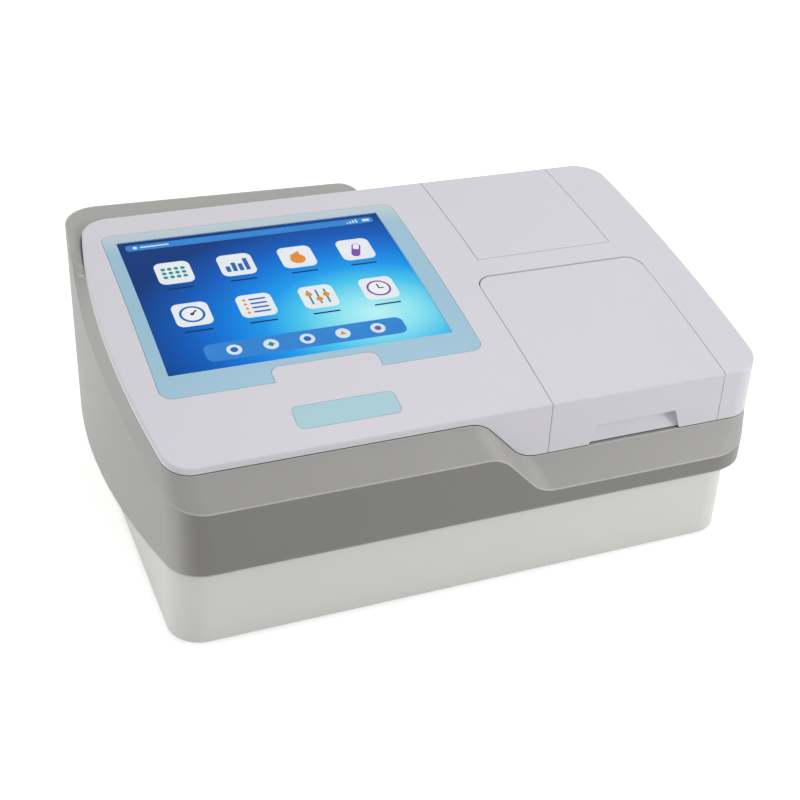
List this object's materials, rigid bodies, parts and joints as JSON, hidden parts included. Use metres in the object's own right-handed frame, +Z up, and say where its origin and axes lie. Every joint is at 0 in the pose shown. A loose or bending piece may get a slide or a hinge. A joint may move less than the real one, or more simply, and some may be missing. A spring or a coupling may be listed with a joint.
{
  "type": "microplate reader",
  "caption": "Bench microplate reader with a sloping top, a touch display on the left, and a hinged plate lid with a finger notch and a hinged optics cover on the right.",
  "frame": {"origin": "on the bench under the middle of the casing's footprint", "axes": "+X to the right seen from the front, +Y to the rear, +Z up"},
  "size_m": [0.471, 0.316, 0.1996],
  "materials": {
    "cover_white": "satin white",
    "housing_grey": "fine grey paint",
    "base_grey": "matt light grey",
    "bezel_blue": "light blue film",
    "screen_glass": "lit display glass",
    "panel_black": "matt black",
    "label_blue": "plain light blue film",
    "rubber_black": "matt",
    "steel": "bright",
    "supply_case": "plain sheet",
    "sheet_metal": "plain sheet",
    "aluminium": "satin",
    "anodised_black": "black",
    "board_green": "circuit board",
    "inner_black": "matt black",
    "brass": "plain",
    "filter_glass": "tinted glass",
    "lamp_glass": "clear",
    "rocker_black": "gloss"
  },
  "bodies": {
    "casing": {"mid_housing": "housing_grey", "base_tub": "base_grey", "top_cover": "cover_white", "lid_hinge_pin": "steel", "optics_hinge_pin": "steel", "display_bezel": "bezel_blue", "touch_glass": "screen_glass", "display_panel": "panel_black", "label_plate": "label_blue", "display_bracket": "sheet_metal", "display_board": "board_green", "chassis_plate": "sheet_metal", "power_supply": "supply_case", "main_board": "board_green", "compartment_liner": "inner_black", "drive_belt": "rubber_black", "drive_motor": "anodised_black", "idler_bracket": "sheet_metal", "optics_deck": "sheet_metal", "lens_block": "anodised_black", "detector_board": "board_green", "wheel_bracket": "sheet_metal", "wheel_motor": "anodised_black", "light_coupler": "brass", "fibre_guide": "rubber_black", "lamp_housing": "aluminium", "lamp": "lamp_glass", "rear_panel": "sheet_metal", "power_inlet": "panel_black", "switch_frame": "panel_black", "fan_frame": "panel_black", "rubber_feet": "rubber_black", "chassis_screws": "steel", "board_standoffs": "brass", "guide_rods": "steel", "rod_supports": "aluminium", "lens_tubes": "aluminium", "panel_screws": "steel", "data_port": "panel_black", "serial_port": "sheet_metal", "usb_port": "sheet_metal"},
    "plate_lid": {"plate_lid": "cover_white"},
    "optics_cover": {"optics_cover": "cover_white"},
    "carrier": {"plate_carrier": "anodised_black", "slide_bushings": "brass", "belt_clamp": "aluminium", "clamp_pin": "steel"},
    "clamp": {"plate_clamp": "steel"},
    "drive_pulley": {"drive_pulley": "aluminium"},
    "idler_pulley": {"idler_pulley": "aluminium"},
    "filter_wheel": {"filter_wheel": "aluminium", "filters": "filter_glass"},
    "power_rocker": {"power_rocker": "rocker_black"},
    "fan_rotor": {"fan_rotor": "panel_black"}
  },
  "joints": [
    {"name": "plate_lid_hinge", "type": "hinge", "parent": "casing", "child": "plate_lid", "pos_m": [0.1277, -0.017, 0.1703], "axis": [-1, 0, 0], "range_deg": [0, 85]},
    {"name": "optics_cover_hinge", "type": "hinge", "parent": "casing", "child": "optics_cover", "pos_m": [0.1277, 0.1342, 0.16175], "axis": [-1, 0, 0], "range_deg": [0, 85]},
    {"name": "carrier_slide", "type": "slide", "parent": "casing", "child": "carrier", "axis": [0, 1, 0], "range_m": [0, 0.14]},
    {"name": "clamp_pivot", "type": "hinge", "parent": "carrier", "child": "clamp", "pos_m": [0.1677, -0.03377, 0.11], "axis": [0, 0, 1], "range_deg": [0, 8], "stiffness_Nm_per_rad": 0.02, "springref_deg": -5.73},
    {"name": "drive_pulley_turn", "type": "hinge", "parent": "casing", "child": "drive_pulley", "pos_m": [0.0707, 0.121, 0.094], "axis": [-1, 0, 0], "range_deg": [0, 1300]},
    {"name": "idler_pulley_turn", "type": "hinge", "parent": "casing", "child": "idler_pulley", "pos_m": [0.0707, -0.121, 0.094], "axis": [-1, 0, 0], "range_deg": [0, 1300]},
    {"name": "filter_wheel_turn", "type": "hinge", "parent": "casing", "child": "filter_wheel", "pos_m": [0.1197, 0.0605, 0.156], "axis": [0, 1, 0], "continuous": true},
    {"name": "power_rocker_tilt", "type": "hinge", "parent": "casing", "child": "power_rocker", "pos_m": [-0.1211, 0.1484, 0.08], "axis": [-1, 0, 0], "range_deg": [0, 14]},
    {"name": "fan_turn", "type": "hinge", "parent": "casing", "child": "fan_rotor", "pos_m": [-0.0551, 0.1435, 0.08], "axis": [0, 1, 0], "continuous": true}
  ],
  "couplings": [
    {"joint": "drive_pulley_turn", "follows": "carrier_slide", "rad_per_m": 161.29},
    {"joint": "idler_pulley_turn", "follows": "carrier_slide", "rad_per_m": 161.29}
  ]
}
